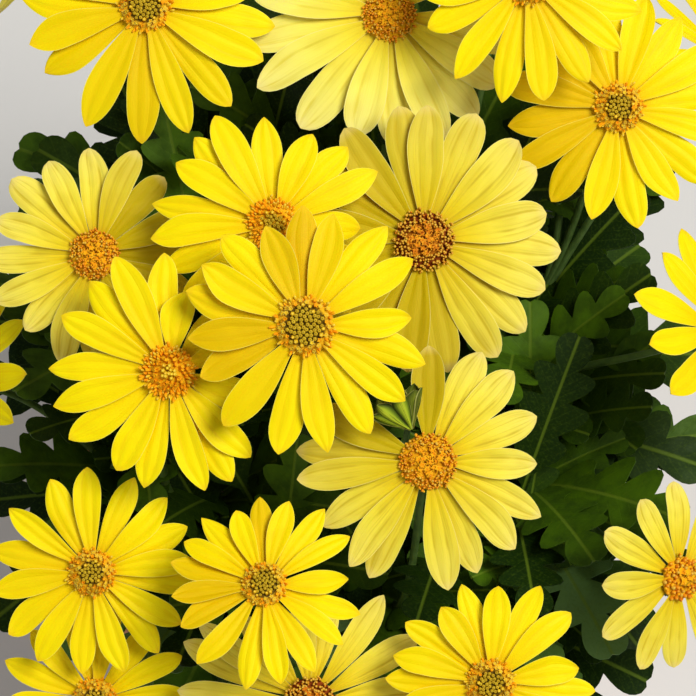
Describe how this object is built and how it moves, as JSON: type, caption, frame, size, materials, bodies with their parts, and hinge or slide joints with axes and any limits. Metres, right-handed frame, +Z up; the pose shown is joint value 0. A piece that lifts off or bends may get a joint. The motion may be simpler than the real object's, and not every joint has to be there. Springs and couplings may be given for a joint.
{
  "type": "potted euryops daisy",
  "caption": "Flowering bedding plant: yellow daisy heads on stalks above lobed green leaves, growing in a plain round clay pot with drain holes.",
  "frame": {"origin": "centre of the pot's flat base", "axes": "+Z up through the plant, -Y towards the side that the flower heads face"},
  "size_m": [0.222, 0.2473, 0.3047],
  "materials": {
    "clay": "plain fired clay, matte",
    "soil": "crumbly potting soil, matte",
    "foliage": "soft green leaf and stem, satin",
    "ray_yellow": "saturated yellow petal, satin",
    "ray_pale": "pale lemon petal, satin",
    "disc": "orange and olive florets, matte"
  },
  "bodies": {
    "root": {"pot": "clay", "soil": "soil", "leafy_stem_1": "foliage", "leafy_stem_2": "foliage", "leafy_stem_3": "foliage", "leafy_stem_4": "foliage", "leafy_stem_5": "foliage", "leafy_stem_6": "foliage", "head_01_rays": "ray_yellow", "head_01_disc": "disc", "head_02_rays": "ray_pale", "head_02_disc": "disc", "head_03_rays": "ray_yellow", "head_03_disc": "disc", "head_04_rays": "ray_yellow", "head_04_disc": "disc", "head_05_rays": "ray_yellow", "head_05_disc": "disc", "head_06_rays": "ray_pale", "head_06_disc": "disc", "head_07_rays": "ray_yellow", "head_07_disc": "disc", "head_08_rays": "ray_yellow", "head_08_disc": "disc", "head_09_rays": "ray_pale", "head_09_disc": "disc", "head_10_rays": "ray_yellow", "head_10_disc": "disc", "head_11_rays": "ray_yellow", "head_11_disc": "disc", "head_12_rays": "ray_yellow", "head_12_disc": "disc", "head_13_rays": "ray_pale", "head_13_disc": "disc", "head_14_rays": "ray_yellow", "head_14_disc": "disc", "head_15_rays": "ray_pale", "head_15_disc": "disc", "head_16_rays": "ray_yellow", "head_16_disc": "disc", "head_17_rays": "ray_pale", "head_17_disc": "disc", "head_18_rays": "ray_yellow", "head_18_disc": "disc", "head_19_rays": "ray_pale", "head_19_disc": "disc", "head_20_rays": "ray_yellow", "head_20_disc": "disc", "head_21_rays": "ray_yellow", "head_21_disc": "disc", "head_22_rays": "ray_yellow", "head_22_disc": "disc"}
  },
  "joints": []
}
